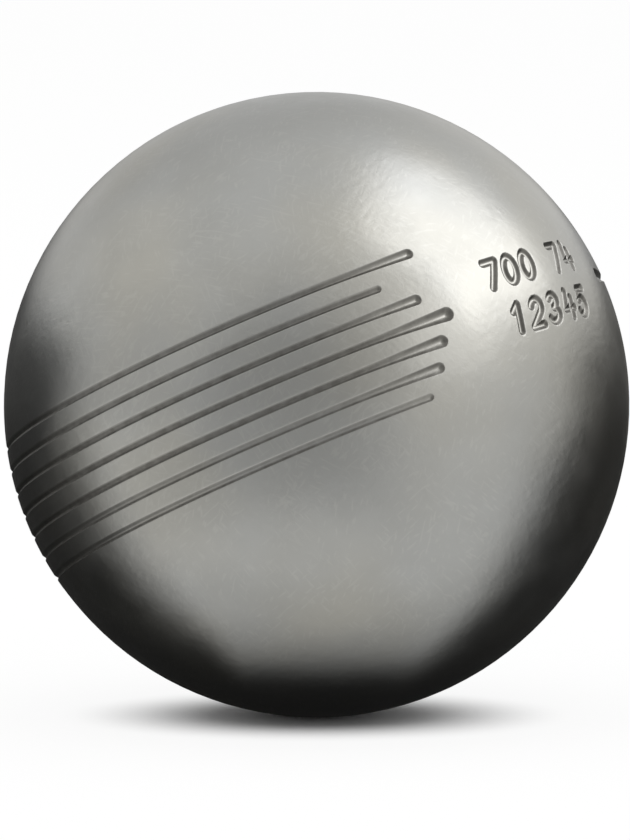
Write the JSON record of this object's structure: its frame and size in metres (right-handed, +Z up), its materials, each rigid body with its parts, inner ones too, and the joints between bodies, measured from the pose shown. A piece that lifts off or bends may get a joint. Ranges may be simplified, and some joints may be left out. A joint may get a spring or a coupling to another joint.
{
  "type": "petanque boule",
  "caption": "Hollow steel ball for petanque: two half shells joined by one weld, turned true, with parallel grooves that end in drop-shaped heads round a bare field.",
  "frame": {"origin": "centre of the ball", "axes": "+Z up as the ball lies in the picture; -Y towards the viewer; the weld lies in the XZ plane and its axis is Y; the grooves' common axis leans 24.65 degrees from +Z towards the direction 155.8 degrees from +X"},
  "size_m": [0.074, 0.074, 0.074],
  "materials": {
    "front_half_shell": "satin, tumbled, with fine scratches",
    "rear_half_shell": "satin, tumbled, with fine scratches",
    "weld_bead": "turned flush outside, dull grey oxide on the root bead"
  },
  "bodies": {
    "boule": {"front_half_shell": "front_half_shell", "rear_half_shell": "rear_half_shell", "weld_bead": "weld_bead"}
  },
  "joints": []
}
